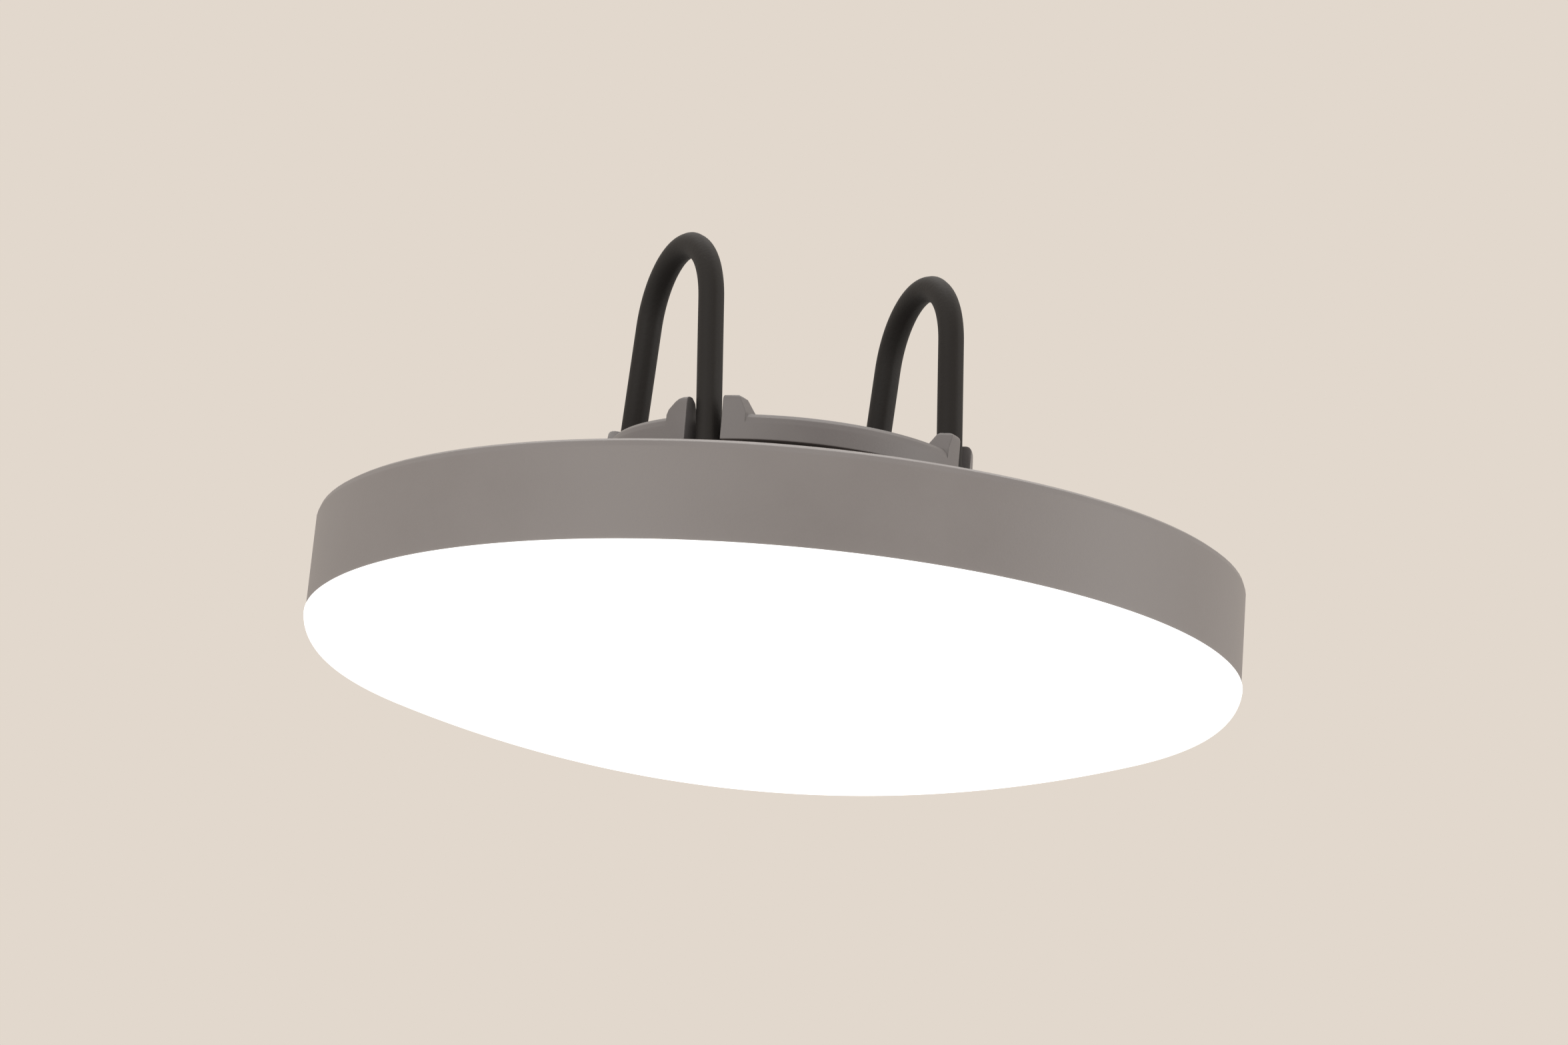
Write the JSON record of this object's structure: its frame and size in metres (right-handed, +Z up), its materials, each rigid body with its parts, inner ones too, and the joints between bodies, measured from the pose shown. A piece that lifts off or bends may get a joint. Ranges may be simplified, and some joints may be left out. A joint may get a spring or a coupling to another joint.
{
  "type": "clip-under umbrella lamp",
  "caption": "Round flat battery lamp with an opal dome, hung under an umbrella strut by a closed elastic ring that seats in a slotted saddle on its back.",
  "frame": {"origin": "centre of the saddle's flat seat, where the underside of the strut lies", "axes": "+Z up into the strut and out of the seat, X along the strut, light leaves towards -Z"},
  "size_m": [0.104, 0.104, 0.0577],
  "materials": {
    "housing": "fine moulded grain, warm grey",
    "saddle": "fine moulded grain, warm grey",
    "seal": "moulded silicone",
    "screw": "zinc plated",
    "elastic": "matt black elastic cord",
    "opal": "opal, lit from inside",
    "reflector": "white",
    "led_board": "white solder mask on aluminium",
    "led": "phosphor window",
    "battery": "pouch foil",
    "foam": "adhesive foam",
    "lead": "insulated wire",
    "control_board": "green solder mask",
    "electronics": "moulded black",
    "socket": "stamped steel",
    "cover": "soft moulded, dark warm grey",
    "pin": "plain",
    "button": "moulded, dark warm grey",
    "plunger": "moulded",
    "clear": "clear moulded"
  },
  "bodies": {
    "lamp": {"back_shell": "housing", "saddle_mount": "saddle", "saddle_seal": "seal", "saddle_screws": "screw", "diffuser": "opal", "diffuser_gasket": "seal", "reflector_ring": "reflector", "led_board": "led_board", "led_chips": "led", "board_screws": "screw", "battery_cell": "battery", "battery_pad": "foam", "battery_lead": "lead", "board_link": "electronics", "control_board": "control_board", "control_parts": "electronics", "control_screws": "screw", "usb_socket": "socket", "hinge_pin": "pin", "switch_body": "electronics", "light_pipe": "clear"},
    "button": {"power_button": "button", "switch_plunger": "plunger"},
    "cover": {"port_cover": "cover"},
    "strap": {"strap_ring": "elastic"}
  },
  "joints": [
    {"name": "power_button_press", "type": "slide", "parent": "lamp", "child": "button", "axis": [0, 0, -1], "range_m": [0, 0.0004], "stiffness_N_per_m": 1500, "springref_m": -0.0006},
    {"name": "port_cover_hinge", "type": "hinge", "parent": "lamp", "child": "cover", "pos_m": [-0.011, 0.037, -0.0101], "axis": [-1, 0, 0], "range_deg": [0, 105]},
    {"name": "strap_release", "type": "hinge", "parent": "lamp", "child": "strap", "pos_m": [0, -0.0117, -0.002], "axis": [1, 0, 0], "range_deg": [0, 100], "deforming": ["strap_ring"]}
  ]
}
